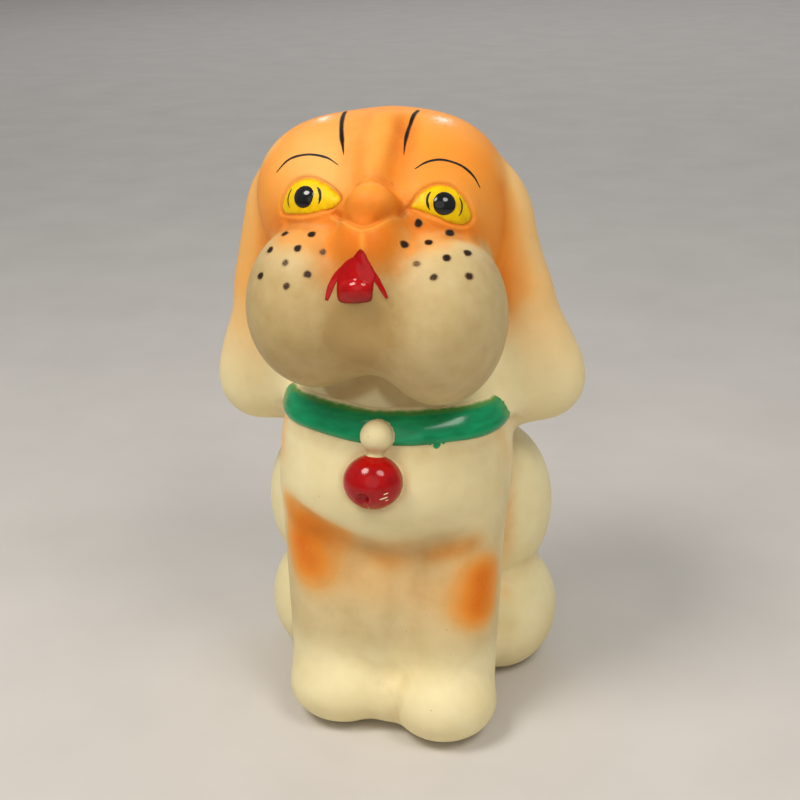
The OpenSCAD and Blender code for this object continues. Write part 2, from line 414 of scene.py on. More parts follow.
def surface_nets(values, low, step):
    """Vertices and quads of the zero surface of a grid of values."""
    inside, size = values < 0, np.array(values.shape)
    corners = [np.array(c) for c in np.ndindex(2, 2, 2)]
    count = sum(inside[tuple(slice(c[i], size[i] - 1 + c[i]) for i in range(3))].astype(int) for c in corners)
    active = (count > 0) & (count < 8)
    cells = np.argwhere(active)
    index = np.full(size - 1, -1)
    index[active] = np.arange(len(cells))
    total, hits = np.zeros((len(cells), 3)), np.zeros(len(cells))
    for first in corners:
        for second in corners:
            way = second - first
            if way.sum() == 1 and np.abs(way).sum() == 1:
                a, b = values[tuple((cells + first).T)], values[tuple((cells + second).T)]
                crossed = (a < 0) != (b < 0)
                total[crossed] += first + way * (a[crossed] / (a[crossed] - b[crossed]))[:, None]
                hits[crossed] += 1
    quads, ways = [], np.eye(3, dtype=int)
    for axis in range(3):
        ahead, one, two = ways[axis], ways[(axis + 1) % 3], ways[(axis + 2) % 3]
        here = inside[tuple(slice(0, size[i] - ahead[i]) for i in range(3))]
        there = inside[tuple(slice(ahead[i], size[i]) for i in range(3))]
        edges = np.argwhere(here != there)
        edges = edges[(edges @ one > 0) & (edges @ two > 0)]
        ring = np.stack([index[tuple((edges - o).T)] for o in (one + two, two, 0 * one, one)], 1)
        quads.append(np.where(here[tuple(edges.T)][:, None], ring, ring[:, ::-1]))
    return low + step * (cells + total / hits[:, None]), np.concatenate(quads)


def mesh_field(field, step):
    return surface_nets(sample_near_surface(field, GRID_LOW, GRID_HIGH, step), GRID_LOW, step)


def slope_of(field, points, at=None, step=0.05):
    at = field(points) if at is None else at
    return np.stack([(field(points + step * axis) - at) / step for axis in np.eye(3)], 1)


def skin_normals(points):
    slope = slope_of(dog_field, points)
    return slope / np.maximum(np.linalg.norm(slope, axis=1), 1e-6)[:, None]


def settle(points, rounds):
    """Moves points down or up the field's slope, onto the skin."""
    for _ in range(rounds):
        value = dog_field(points)
        slope = slope_of(dog_field, points, value)
        move = value / np.maximum((slope * slope).sum(1), 0.1)
        points = points - np.clip(move, -1.0, 1.0)[:, None] * slope
    return points


def split_triangles(vertices, triangles, chosen):
    """Splits every edge of the chosen triangles, and the neighbours so that they still meet edge to edge."""
    sides = triangles[:, [[0, 1], [1, 2], [2, 0]]]
    keys = np.sort(sides, axis=2).reshape(-1, 2)
    edges, which = np.unique(keys, axis=0, return_inverse=True)
    which = which.reshape(-1, 3)
    marked = np.zeros(len(edges), bool)
    marked[which[chosen].ravel()] = True
    middle_of = np.full(len(edges), -1)
    middle_of[marked] = len(vertices) + np.arange(marked.sum())
    vertices = np.vstack([vertices, vertices[edges[marked]].mean(1)])
    mids = middle_of[which]
    cuts = (mids >= 0).sum(1)
    out = [triangles[cuts == 0]]
    full, m = triangles[cuts == 3], mids[cuts == 3]
    for corner in range(3):
        out.append(np.stack((full[:, corner], m[:, corner], m[:, corner - 1]), 1))
    out.append(m)
    for turn in range(3):
        order = [turn, (turn + 1) % 3, (turn + 2) % 3]
        one = (cuts == 1) & (mids[:, order[0]] >= 0)
        a, b, c = triangles[one][:, order].T
        m = mids[one, order[0]]
        out += [np.stack((a, m, c), 1), np.stack((m, b, c), 1)]
        two = (cuts == 2) & (mids[:, order[2]] < 0)
        a, b, c = triangles[two][:, order].T
        m, k = mids[two, order[0]], mids[two, order[1]]
        out += [np.stack((m, b, k), 1), np.stack((a, m, k), 1), np.stack((a, k, c), 1)]
    return vertices, np.concatenate(out)


SKIN_STEP = 1.2  # grid spacing


def detail_level(points):
    """How many times the skin's triangles are halved at each point."""
    level = np.zeros(len(points), int)
    collar_edge = np.abs(np.abs(collar_height(points)) - COLLAR_HALF)
    level[(collar_edge < 1.6) & (np.abs(points[:, 0]) < 34)] = 1
    for centre, reach in ((BELL.centre, 9), (BEAD.centre, 6), (MOUTH.origin, 11), ((0, -30, 148), 12)):
        level[near(points, centre, reach)] = 1
    level[near(points, BELL_HOLE.centre, 4.5)] = 2
    front = near(points, FACE.origin, 13)
    lines = from_path(np.stack(FACE.local(points[front]), 1), FACE_LINES[1][0])
    level[np.flatnonzero(front)[lines < 1.6]] = 2
    for patch, outline in EYES.values():
        close = near(points, patch.origin, 14)
        edge, _ = outline.measure(*patch.local(points[close]))
        level[np.flatnonzero(close)] = np.maximum(level[close], np.where(np.abs(edge - 0.8) < 2.0, 2, 1))
    return level


def mesh_skin():
    vertices, quads = mesh_field(dog_field, SKIN_STEP)
    triangles = np.concatenate([quads[:, [0, 1, 2]], quads[:, [0, 2, 3]]])
    vertices = settle(vertices, 1)
    for depth in range(2):
        chosen = detail_level(vertices[triangles].mean(1)) > depth
        vertices, triangles = split_triangles(vertices, triangles, chosen)
    return settle(vertices, 2), triangles


# ================ Paint ================
# Each hand-painted mark is a thin closed film that follows the skin and dips into it at its rim.
# A film is (points, faces, rims); a point's rim value runs from 0 in the middle of the mark to 1 at its edge.
FILM = 0.10  # thickness of enamel above the vinyl
SUNK = -0.22  # depth of a film's hidden underside below the vinyl
CROWN = Patch((0, -5, 165), (0, -0.45, 0.89))
RING_SHARES = np.array([0.12, 0.25, 0.37, 0.49, 0.6, 0.7, 0.79, 0.87, 0.94, 1.0, 1.0])
DROP_FROM, DROP_ROUNDS, DROP_PACE = 12.0, 60, 0.7  # start of the drop onto the skin, its steps and their share


def on_skin(patch, u, v, height):
    """Points of a patch dropped onto the skin, each at its own height above it."""
    points = patch.world(u, v, DROP_FROM)
    for _ in range(DROP_ROUNDS):
        points = points - np.clip(dog_field(points), -3, 3)[:, None] * DROP_PACE * patch.n
    return points + np.asarray(height)[:, None] * skin_normals(points)


def ring_faces(rings, size, flip=False, wrap=False):
    """Quads between each closed ring of points and the next; wrap joins the last ring to the first."""
    order = (0, 3, 2, 1) if flip else (0, 1, 2, 3)
    faces = []
    for here in range(rings if wrap else rings - 1):
        there = (here + 1) % rings
        for i in range(size):
            j = (i + 1) % size
            quad = here * size + i, there * size + i, there * size + j, here * size + j
            faces.append(tuple(quad[k] for k in order))
    return faces


def fan(hub, first, size, flip=False):
    """Triangles from a hub to a ring of points."""
    pairs = [(first + i, first + (i + 1) % size) for i in range(size)]
    return [(hub, j, i) if flip else (hub, i, j) for i, j in pairs]


def disc_film(patch, outline, middle=(0, 0), samples=64, thickness=FILM, dome=0.0, flat=False):
    """Film inside a closed outline that every ray from its middle crosses once, standing up by a dome."""
    curve, shares = closed_spline(outline, samples) - middle, RING_SHARES.copy()
    heights = thickness + dome * (1 - shares**2)
    heights[-2:] = thickness * 0.5, SUNK
    if flat:
        shares[-2], heights[-2] = 0.99, thickness
    u = np.append(np.outer(shares, curve[:, 0]).ravel(), [0, 0]) + middle[0]
    v = np.append(np.outer(shares, curve[:, 1]).ravel(), [0, 0]) + middle[1]
    points = on_skin(patch, u, v, np.append(np.repeat(heights, samples), [thickness + dome, SUNK]))
    faces = fan(len(points) - 2, 0, samples)
    faces += fan(len(points) - 1, (len(shares) - 1) * samples, samples, flip=True)
    faces += ring_faces(len(shares), samples)
    return points, faces, np.append(np.repeat(shares, samples), [0, 1])


def stroke_film(patch, path, width, samples=48, thickness=FILM, tips=(0.3, 0.3)):
    """Brush stroke along a smooth path; tips are the widths at its two ends, as shares of the full width."""
    line = open_spline(path, samples)
    along = np.gradient(line, axis=0)
    along /= np.linalg.norm(along, axis=1)[:, None]
    side = np.stack([-along[:, 1], along[:, 0]], 1)
    t = np.linspace(0, 1, samples)
    swell = np.minimum(1, np.minimum(tips[0] + t * 4, tips[1] + (1 - t) * 2.5))
    half = width / 2 * swell * (1 + 0.06 * np.sin(17 * t + 3 * width))
    across = np.array([-1.0, -1.0, -0.7, -0.35, 0.0, 0.35, 0.7, 1.0, 1.0])
    height = np.where(np.abs(across) < 1, thickness, thickness * 0.5)
    height[[0, -1]] = SUNK
    m = len(across)
    spots = line[:, None, :] + side[:, None, :] * (half[:, None] * across)[:, :, None]
    points = on_skin(patch, spots[..., 0].ravel(), spots[..., 1].ravel(), np.tile(height, samples))
    faces = ring_faces(samples, m)
    faces += [tuple(range(m)), tuple((samples - 1) * m + k for k in reversed(range(m)))]
    ending = np.clip(1 - np.minimum(t, 1 - t) / 0.05, 0, 1)
    return points, faces, np.maximum(np.abs(across)[None, :], ending[:, None]).ravel()


def joined(films):
    """Several films as one."""
    starts = np.cumsum([0] + [len(points) for points, _, _ in films])
    faces = [tuple(int(i) + start for i in face) for start, (_, part, _) in zip(starts, films) for face in part]
    return np.vstack([f[0] for f in films]), faces, np.concatenate([f[2] for f in films])


def dab(radius, seed, middle=(0, 0), uneven=0.05, corners=9):
    """Outline of a hand-painted dot: nearly round, with a few flats."""
    rng = np.random.default_rng(seed)
    angle = np.arange(corners) * 2 * np.pi / corners
    reach = radius * (1 + uneven * rng.uniform(-1, 1, corners))
    return np.stack([middle[0] + reach * np.cos(angle), middle[1] + reach * np.sin(angle)], 1)


def bow(start, through, end, samples=7):
    """Points along the circle through three points."""
    a, b, c = (complex(*p) for p in (start, through, end))
    w = (c - a) / (b - a)
    centre = a + (b - a) * (w - abs(w) ** 2) / (2j * w.imag)
    first, last = np.angle(a - centre), np.angle(c - centre)
    turn = (last - first + np.pi) % (2 * np.pi) - np.pi
    arc = centre + abs(a - centre) * np.exp(1j * (first + turn * np.linspace(0, 1, samples)))
    return np.stack([arc.real, arc.imag], 1)


def band_film(samples=240):
    """Paint round the neck: over the collar's face and a little way onto the ledge above and chest below."""
    rows = np.array([-1.06, -1.06, -1.0, -0.93, -0.8, -0.5, 0.0, 0.5, 0.75, 0.88, 0.96, 1.02, 1.1, 1.25, 1.25])
    lift = FILM * np.concatenate([[0, 0.4], np.ones(len(rows) - 4), [0.4, 0]])
    lift[[0, -1]] = SUNK
    angle = np.arange(samples) * 2 * np.pi / samples
    out = np.stack([np.cos(angle), np.sin(angle), 0 * angle], 1)
    wander = 0.02 * np.sin(5 * angle) + 0.01 * np.sin(13 * angle + 1)
    points = []
    for row, rise in zip(rows, lift):
        at = out * 50.0
        share = row + wander * max(0.0, abs(row) - 0.9) * 8
        for _ in range(90):
            at[:, 2] = COLLAR_MID + COLLAR_SLOPE * at[:, 0] + share * COLLAR_HALF
            at = at - 0.6 * (collared_field(at) - rise)[:, None] * out
        points.append(at)
    faces = ring_faces(len(rows), samples, flip=True, wrap=True)
    return np.vstack(points), faces, np.repeat(rows, samples)


def bell_film(rings=56, segments=96):
    """Paint all round the bell, pressed into its hole and slit."""
    polar = np.pi * np.arange(1, rings) / rings
    around = 2 * np.pi * np.arange(segments) / segments
    p, a = np.meshgrid(polar, around, indexing="ij")
    out = np.stack([np.sin(p) * np.sin(a), -np.cos(p), np.sin(p) * np.cos(a)], -1).reshape(-1, 3)
    out = np.vstack([out, [(0, -1, 0), (0, 1, 0)]])
    reach = np.full(len(out), 9.0)
    for _ in range(60):
        reach -= 0.6 * (bell_field(BELL.centre + out * reach[:, None]) - FILM)
    faces = fan(len(out) - 2, 0, segments, flip=True) + fan(len(out) - 1, (rings - 2) * segments, segments)
    faces += ring_faces(rings - 1, segments, flip=True)
    return BELL.centre + out * reach[:, None], faces, np.zeros(len(out))


# Where each mark is, in its patch's frame. Right and left are the dog's own.
PUPIL_R, PUPIL_DOME = 2.85, 0.55
PUPILS = {"right": (0.8, 0.3), "left": (-0.7, -0.2)}
# Arcs of the iris: start, middle, end, width
IRIS_ARCS = {
    "right": [((-3.9, 1.6), (-4.3, -0.6), (-3.1, -3.0), 0.40), ((3.4, 3.4), (5.0, 1.8), (5.3, -0.5), 0.62)],
    "left": [((-3.4, 3.2), (-4.7, 1.3), (-4.4, -1.1), 0.58), ((3.5, 0.9), (3.8, -1.3), (2.5, -3.6), 0.42)],
}
# Brush strokes: path, width
BROWS = {
    "right": ([(-27, 18), (-23.5, 21), (-18.5, 21.8), (-13.5, 20.7), (-10, 18.5)], 0.62),
    "left": ([(9.5, 17.5), (12.5, 19.7), (16, 20.7), (20.5, 20), (23.5, 18), (25.2, 15.5)], 0.62),
}
STRIPES = {
    "right": ([(-12.4, 11), (-11.6, 3), (-10.6, -3), (-9.7, -7), (-8.9, -10.2)], 1.4),
    "left": ([(7.3, 10), (6.6, 4), (6.2, -1), (6.1, -5.5), (6.3, -9.8)], 1.3),
}
# Whisker dots in the face's frame; the last number is how strongly each was sprayed
WHISKERS = [
    (-22, 0.2, 0.85), (-14.5, -0.5, 1), (-25, -4.5, 0.9), (-17, -5, 0.95), (-10.5, -6, 0.5), (-19.5, -9, 0.5),
    (-26.5, -11.5, 0.85), (-13.5, -12, 0.75), (-18.5, -15, 0.6), (11.5, 3.5, 0.8), (19, 2, 0.9), (9, -3, 0.85),
    (14.5, -1.5, 1), (24, -3.5, 0.85), (19.5, -6, 0.9), (12.5, -8, 0.45), (17, -11.5, 0.65), (25, -10, 0.7),
]
DOT_R = 1.35  # out to where the spray has faded away
LIPS = [
    ([(-1.4, 3.9), (-3.5, 2.6), (-5.6, 0.6), (-7.2, -2.0), (-8.4, -5.9)], 1.6),
    ([(0.4, 4.8), (2.3, 1.8), (4.2, -1.3), (6.2, -4.9)], 1.35),
]
TONGUE = [(0, 6.3), (1.1, 5.3), (1.9, 3.7), (2.9, 2.0), (3.8, 0.2), (3.2, -1.5), (2.9, -3.6), (2.3, -5.7),
          (-1.4, -6.4), (-5.2, -6.1), (-5.9, -3.9), (-5.9, -1.2), (-5.6, 0.8), (-4.2, 2.5), (-2.5, 3.5),
          (-1.3, 5.1)]
TONGUE_HUB = (-1.2, -0.6)
FLECKS = Patch((15.3, -26, 86.9), (0.3, -0.9, 0.2))
FLECK_SPOTS = [(0.2, 0.5, 1.0), (1.9, 0.8, 0.55), (-1.5, 0.8, 0.5)]
# Scratches through the bell's paint: start, middle, end, width
SCRATCHES = Patch((3.4, -38.5, 77.2), (0.5, -0.85, -0.1))
SCRATCH_LINES = [
    (((-0.2, 1.2), (0.4, 1.38), (1.1, 1.5)), 0.3),
    (((-1.2, -0.1), (-0.2, 0.1), (1.0, 0.4)), 0.42),
    (((0.3, -0.75), (0.8, -0.7), (1.2, -0.6)), 0.26),
]


# ================ Materials ================
def linear(colour):
    """Colour as seen on a screen, 0 to 255, turned into the light values a shader works in."""
    c = np.array(colour) / 255
    c = np.where(c <= 0.04045, c / 12.92, ((c + 0.055) / 1.055) ** 2.4)
    return (*[float(x) for x in c], 1.0)


class Look:
    """A Principled material built from nodes in object space. Sizes are in drawn mm, colours as on a screen."""

    def __init__(self, name, **sockets):
        self.material = bpy.data.materials.new(name)
        self.material.use_nodes = True
        self.tree = self.material.node_tree
        self.shader = next(n for n in self.tree.nodes if n.type == "BSDF_PRINCIPLED")
        self.place = self.node("ShaderNodeTexCoord").outputs["Object"]
        for socket, value in sockets.items():
            self.shader.inputs[socket.replace("_", " ")].default_value = value

    def node(self, kind, inputs=None, **settings):
        made = self.tree.nodes.new(kind)
        for key, value in settings.items():
            setattr(made, key, value)
        for key, value in (inputs or {}).items():
            if isinstance(value, bpy.types.NodeSocket):
                self.tree.links.new(value, made.inputs[key])
            else:
                made.inputs[key].default_value = value
        return made

    def noise(self, size, detail=3.0, roughness=0.55, offset=0.0, stretch=None):
        inputs = {0: self.place, 1: (offset,) * 3}
        place = self.node("ShaderNodeVectorMath", inputs, operation="ADD").outputs[0]
        if stretch:
            place = self.node("ShaderNodeMapping", {"Vector": place, "Scale": stretch}).outputs[0]
        inputs = {"Vector": place, "Scale": 1 / (size * METRES), "Detail": detail, "Roughness": roughness}
        return self.node("ShaderNodeTexNoise", inputs).outputs["Fac"]

    def cells(self, size):
        inputs = {"Vector": self.place, "Scale": 1 / (size * METRES)}
        return self.node("ShaderNodeTexVoronoi", inputs).outputs["Distance"]

    def attribute(self, name):
        return self.node("ShaderNodeAttribute", attribute_name=name).outputs["Fac"]

    def math(self, operation, a, b, use_clamp=True):
        return self.node("ShaderNodeMath", {0: a, 1: b}, operation=operation, use_clamp=use_clamp).outputs[0]

    def times(self, a, b):
        return self.math("MULTIPLY", a, b)

    def span(self, value, low, high, out_low=0.0, out_high=1.0):
        inputs = {"Value": value, "From Min": low, "From Max": high, "To Min": out_low, "To Max": out_high}
        return self.node("ShaderNodeMapRange", inputs).outputs["Result"]

    def patchy(self, size, low, high, detail=3.0, offset=0.0):
        """Noise that wanders between two values."""
        return self.span(self.noise(size, detail, offset=offset), 0.3, 0.7, low, high)

    def mix(self, share, a, b, blend="MIX"):
        a, b = (linear(c) if isinstance(c, tuple) else c for c in (a, b))
        made = self.node("ShaderNodeMix", {0: share, 6: a, 7: b}, data_type="RGBA", blend_type=blend)
        return made.outputs[2]

    def ramp(self, value, *stops):
        made = self.node("ShaderNodeValToRGB", {"Fac": value})
        elements = made.color_ramp.elements
        (elements[0].position, first), (elements[1].position, last) = stops[0], stops[-1]
        elements[0].color, elements[1].color = linear(first), linear(last)
        for position, colour in stops[1:-1]:
            elements.new(position).color = linear(colour)
        return made.outputs["Color"]

    def set(self, socket, value):
        self.tree.links.new(value, self.shader.inputs[socket])

    def bump(self, height, strength, depth):
        inputs = {"Height": height, "Strength": strength, "Distance": depth * METRES}
        before = self.shader.inputs["Normal"]
        if before.links:
            inputs["Normal"] = before.links[0].from_socket
        self.set("Normal", self.node("ShaderNodeBump", inputs).outputs["Normal"])


# The first colour darkens the creases as grime and painted shade; the fourth browns the vinyl, partly as
# painted shade.
GRIME_AND_SHADE, YELLOWING, SPECK, TAN_AND_SHADE_TINT = (196, 140, 62), (190, 160, 100), (96, 66, 36), (196, 174, 144)
RUBBED, SOOT_THIN, SOOT_THICK = (250, 243, 222), (120, 80, 44), (20, 14, 10)
CREAM, DUST = (243, 228, 178), (150, 138, 112)


def soft_vinyl():
    """Cream rotocast vinyl: airbrushed orange, soft sheen, grime and painted shade in the creases, browning
    with painted shade on the lower muzzle, painted shade under the mouth and belly and on one side of the
    chest, darker fronts of the forelegs, specks and scuffs of age, and the dark spray of whisker dots and
    stripes."""
    look = Look("soft_vinyl", Subsurface_Weight=0.10, Subsurface_Scale=1.6 * METRES, Specular_IOR_Level=0.2)
    look.shader.inputs["Subsurface Radius"].default_value = (1.0, 0.62, 0.35)
    mottle = look.noise(5, 4, offset=0.3)
    cream = look.ramp(look.noise(26), (0.3, (239, 223, 168)), (0.52, (245, 230, 180)), (0.75, (236, 218, 162)))
    # airbrushed orange, a little uneven
    uneven = look.math("ADD", look.patchy(9, 0.0, 0.10, offset=0.7), look.patchy(0.7, 0.0, 0.06, 2, 0.1))
    amount = look.times(look.attribute("orange"), look.math("ADD", 0.90, uneven))
    orange = look.ramp(amount, (0.0, (246, 218, 158)), (0.35, (252, 190, 108)), (0.68, (250, 154, 52)),
                       (1.0, (234, 116, 4)))
    base = look.mix(look.span(amount, 0.0, 0.40), cream, orange)
    # grime with painted shade in the creases, yellowing, sparse dark specks, browning with painted shade, and
    # scuffs
    grime_and_shade = look.times(look.span(mottle, 0.35, 0.7, 0.45, 1.0), look.attribute("crease"))
    base = look.mix(look.times(grime_and_shade, 0.75), base, GRIME_AND_SHADE, "MULTIPLY")
    base = look.mix(look.span(mottle, 0.45, 0.72, 0.0, 0.08), base, YELLOWING)
    sparse = look.span(look.noise(30, 1, offset=0.9), 0.52, 0.56)
    specks = look.times(look.span(look.cells(4.6), 0.045, 0.03), sparse)
    base = look.mix(look.times(specks, 0.5), base, SPECK)
    # browning with painted shade: a painted shadow under the mouth and belly, painted shade on one side of the
    # chest
    browned_and_shaded = look.times(look.attribute("tan_and_shade"), look.span(mottle, 0.3, 0.7, 0.85, 1.0))
    base = look.mix(browned_and_shaded, base, TAN_AND_SHADE_TINT, "MULTIPLY")
    worn = look.times(look.attribute("scuff"), look.span(look.noise(1.3, offset=0.5), 0.35, 0.5))
    base = look.mix(worn, base, RUBBED)
    # dots and stripes, brown where the spray is thin
    grain = look.span(look.noise(0.4, 2, offset=0.2), 0.25, 0.6, 0.75, 1.3)
    soot = look.times(look.attribute("soot"), grain)
    base = look.mix(look.span(soot, 0.0, 0.6), base, look.mix(soot, SOOT_THIN, SOOT_THICK))
    look.set("Base Color", base)
    look.set("Roughness", look.math("ADD", look.span(mottle, 0.3, 0.7, 0.42, 0.52), look.times(grime_and_shade, 0.12)))
    look.bump(look.noise(0.45, 2, 0.5, offset=0.2), 0.10, 0.05)
    look.bump(look.noise(7, 2, 0.5, offset=0.6), 0.20, 0.2)
    return look.material


def enamel(name, deep, colour, pale, roughness, edge=None, coat=0.2, shine=0.3):
    """Hand-brushed enamel: glossy, a little uneven, pooled and darker along its edge."""
    look = Look(name, Coat_Weight=coat, Coat_Roughness=0.08, Specular_IOR_Level=shine)
    base = look.ramp(look.noise(2.6, 2), (0.32, deep), (0.5, colour), (0.7, pale))
    if edge:
        rim = look.math("ADD", look.attribute("rim"), look.patchy(1.2, -0.08, 0.05, 2), use_clamp=False)
        base = look.mix(look.times(look.span(rim, 0.84, 0.98), 0.8), base, edge)
    look.set("Base Color", base)
    look.set("Roughness", look.patchy(2.2, roughness * 0.75, roughness * 1.5, offset=0.2))
    look.bump(look.noise(1.7, 2, offset=0.6), 0.22, 0.10)
    return look.material


def collar_enamel():
    """Green enamel that covers the collar's face and thins out to bare vinyl over the ledge above it."""
    look = Look("collar_green", Coat_Weight=0.3, Coat_Roughness=0.1, Specular_IOR_Level=0.3)
    streaks = look.noise(1.4, 3.0, 0.5, stretch=(0.25, 0.25, 1.0))
    green = look.ramp(streaks, (0.3, (0, 136, 82)), (0.5, (0, 150, 92)), (0.72, (6, 162, 102)))
    height = look.math("ADD", look.attribute("rim"), look.patchy(2.2, -0.04, 0.04, 2, 0.3), use_clamp=False)
    thin = look.mix(look.span(height, 0.78, 1.0), green, (90, 156, 66))
    look.set("Base Color", look.mix(look.span(height, 0.98, 1.14), thin, CREAM))
    look.set("Roughness", look.span(streaks, 0.3, 0.7, 0.14, 0.24))
    look.bump(streaks, 0.14, 0.06)
    return look.material


def moulded_plastic(name, colour, shade, roughness):
    """Hard moulded plastic of the squeaker: fine satin grain, slight yellowing and a film of dust."""
    look = Look(name, Specular_IOR_Level=0.5)
    dust = look.noise(0.9, offset=0.4)
    base = look.ramp(look.noise(6), (0.3, shade), (0.7, colour))
    look.set("Base Color", look.mix(look.span(dust, 0.5, 0.75, 0.0, 0.25), base, DUST))
    look.set("Roughness", look.span(dust, 0.3, 0.7, roughness * 0.85, roughness * 1.25))
    look.bump(look.noise(0.3, 2, offset=0.2), 0.15, 0.03)
    return look.material


def drawn_film():
    """Thin amber plastic strip with the long drawing lines of rolled film."""
    look = Look("reed_film", Transmission_Weight=0.25, IOR=1.49, Specular_IOR_Level=0.5)
    lines = look.noise(0.25, 2.0, 0.5, stretch=(1.0, 1.0, 0.08))
    look.set("Base Color", look.ramp(lines, (0.3, (196, 140, 58)), (0.7, (226, 184, 104))))
    look.set("Roughness", look.span(lines, 0.3, 0.7, 0.14, 0.26))
    look.bump(lines, 0.2, 0.01)
    return look.material


def studio_floor():
    look = Look("studio_floor", Roughness=0.7, Specular_IOR_Level=0.2)
    look.set("Base Color", look.ramp(look.noise(60, 4), (0.3, (209, 203, 196)), (0.7, (216, 210, 203))))
    look.bump(look.noise(0.8, offset=0.2), 0.08, 0.05)
    return look.material


# ================ Blender objects ================
def add_mesh(name, points, faces, material, smooth=True):
    mesh = bpy.data.meshes.new(name)
    mesh.from_pydata((points * METRES).tolist(), [], faces if isinstance(faces, list) else faces.tolist())
    mesh.materials.append(material)
    mesh.polygons.foreach_set("use_smooth", [smooth] * len(mesh.polygons))
    mesh.update()
    made = bpy.data.objects.new(name, mesh)
    bpy.context.scene.collection.objects.link(made)
    return made


def add_values(made, name, values):
    layer = made.data.attributes.new(name, "FLOAT", "POINT")
    layer.data.foreach_set("value", np.asarray(values, np.float32))


def add_paint(name, film, material):
    points, faces, rims = film
    made = add_mesh(name, points, faces, material)
    add_values(made, "rim", rims)
    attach(made, "root")
    return made


def add_sprayed(name, film, strength):
    """A soft-edged mark: skin with soot on it, densest in the middle."""
    made = add_paint(name, film, vinyl)
    add_values(made, "soot", np.asarray(strength) * (1 - smooth_step(film[2], 0.35, 0.98)))
    paint_vinyl(made, film[0])


# ---- Shell: outer skin less the hollow and the squeaker's hole -------------------------------
HOLLOW_STEP = 2.6  # grid spacing
AXIS = (np.array(cup_low) + np.array(cup_high)) / 2 / METRES  # the squeaker's upright axis
HOLE_R, HOLE_TOP, RECESS_R, RECESS_TOP = 7.5, 11.0, 9.9, 1.8
PAD_R, PAD_TOP, PAD_MARGIN = 13.5, 7.0, 0.6  # solid vinyl round the hole
CUT_FROM = -5.0  # cutters start this far under the base


def hollow_field(points):
    skin = melt_forms(body_field(points), points, HEAD_FORMS)
    skin = blend_max(skin, -points[:, 2], BASE_ROUND)
    across = np.hypot(points[:, 0] - AXIS[0], points[:, 1] - AXIS[1])
    pad = np.maximum(across - PAD_R, points[:, 2] - PAD_TOP)
    return np.maximum(skin + WALL, PAD_MARGIN - pad)


def cylinder(radius, high, sides=96):
    """Upright cutter on the squeaker's axis, from under the base up to a height."""
    angle = np.arange(sides) * 2 * np.pi / sides
    ring = np.stack([AXIS[0] + radius * np.cos(angle), AXIS[1] + radius * np.sin(angle)], 1)
    points = np.vstack([np.column_stack([ring, np.full(sides, z)]) for z in (CUT_FROM, high)])
    walls = [(i, (i + 1) % sides, sides + (i + 1) % sides, sides + i) for i in range(sides)]
    return points, walls + [tuple(range(sides))[::-1], tuple(range(sides, 2 * sides))]


def cut(target, cutter):
    modifier = target.modifiers.new("cut", "BOOLEAN")
    modifier.object, modifier.operation, modifier.solver = cutter, "DIFFERENCE", "MANIFOLD"
    graph = bpy.context.evaluated_depsgraph_get()
    mesh = bpy.data.meshes.new_from_object(target.evaluated_get(graph))
    target.modifiers.clear()
    old, target.data = target.data, mesh
    bpy.data.meshes.remove(old)
    bpy.data.objects.remove(cutter)


def spray(points, amount, start, end, start_r, end_r, strength):
    """Adds one pass of the airbrush along a segment to what is there."""
    t, gap = along_segment(points, start, end)
    return 1 - (1 - amount) * (1 - strength * hump(gap, start_r + (end_r - start_r) * t))


# Airbrush passes: start, end, radius at the start and end, strength
MUZZLE_SPRAY = [
    ((0, -33, 149), (0, -37, 144), 8, 7, 0.62),
    ((-3, -36, 144), (-20, -28, 144), 7, 7, 0.5),
    ((3, -36, 144), (18, -28, 145), 6.5, 5.5, 0.5),
    ((-5, -38, 142), (-9, -38, 136), 6, 4.5, 0.3),
    ((5, -38, 142.5), (8, -38, 138), 5.5, 4, 0.28),
    ((9, -24, 145), (25, -19, 142), 3.4, 3.4, 0.55),
    ((-9, -25, 145.5), (-26, -18, 143), 3.4, 3.4, 0.6),
    ((-26, -20, 143), (-33, -10, 138), 5, 4, 0.3),
    ((24, -20, 143), (31, -10, 137), 4, 4, 0.3),
]
DEEP_SPRAY = [
    ((5.8, -26, 154), (5.4, -6, 165.5), 3.6, 3.4, 0.55),
    ((-6, -25, 155), (-6, -12, 162), 3.0, 3.0, 0.15),
    ((1.5, -32, 151.5), (0, -34.5, 148), 3.2, 4.2, 0.5),
    ((7.5, -27, 151), (4, -33, 147), 2.6, 2.6, 0.4),
    ((-7.5, -28, 151), (-4, -33, 147), 2.6, 2.6, 0.3),
    ((30, -3, 150), (34, -4, 124), 4.0, 4.5, 0.6),
    ((-31, -3, 150), (-35, -4, 122), 4.0, 4.5, 0.55),
    ((12, -18, 160), (26, -8, 158), 8, 7, 0.22),
]
# Spots where the head's orange is weaker: centre, radius, share taken off. The last, on top of the nose, is a
# painted highlight.
PALE_SPOTS = [((-16, -13, 159), 11, 0.25), ((-14, -22, 157), 7, 0.15), ((0.5, -30, 154), 3.0, 0.25)]
BODY_SPRAY = [
    ((-22.5, -27, 56), (-21.5, -29, 51.5), 7.4, 7.6, 1.0),
    ((28, -26, 48), (27.5, -28, 41), 6.6, 7.2, 1.0),
    ((-27, -22, 67), (-12, -30, 60), 3.5, 4, 0.4),
    ((-27, -24, 64), (-11, -30, 57.6), 3.4, 3.4, 0.34),
    ((-11, -30, 57.6), (4.8, -30, 53.6), 3.4, 3.6, 0.34),
    ((4.8, -30, 53.6), (27, -27, 59.5), 3.6, 3.2, 0.32),
    ((-14, -31, 49), (18, -32, 45), 12, 12, 0.26),
    ((-29, -12, 86), (-28, -15, 78), 4, 4, 0.32),
    ((29, -12, 84), (31, -10, 78), 4, 4, 0.26),
    ((31, 0, 66), (31, -2, 30), 3.5, 3.5, 0.25),
]
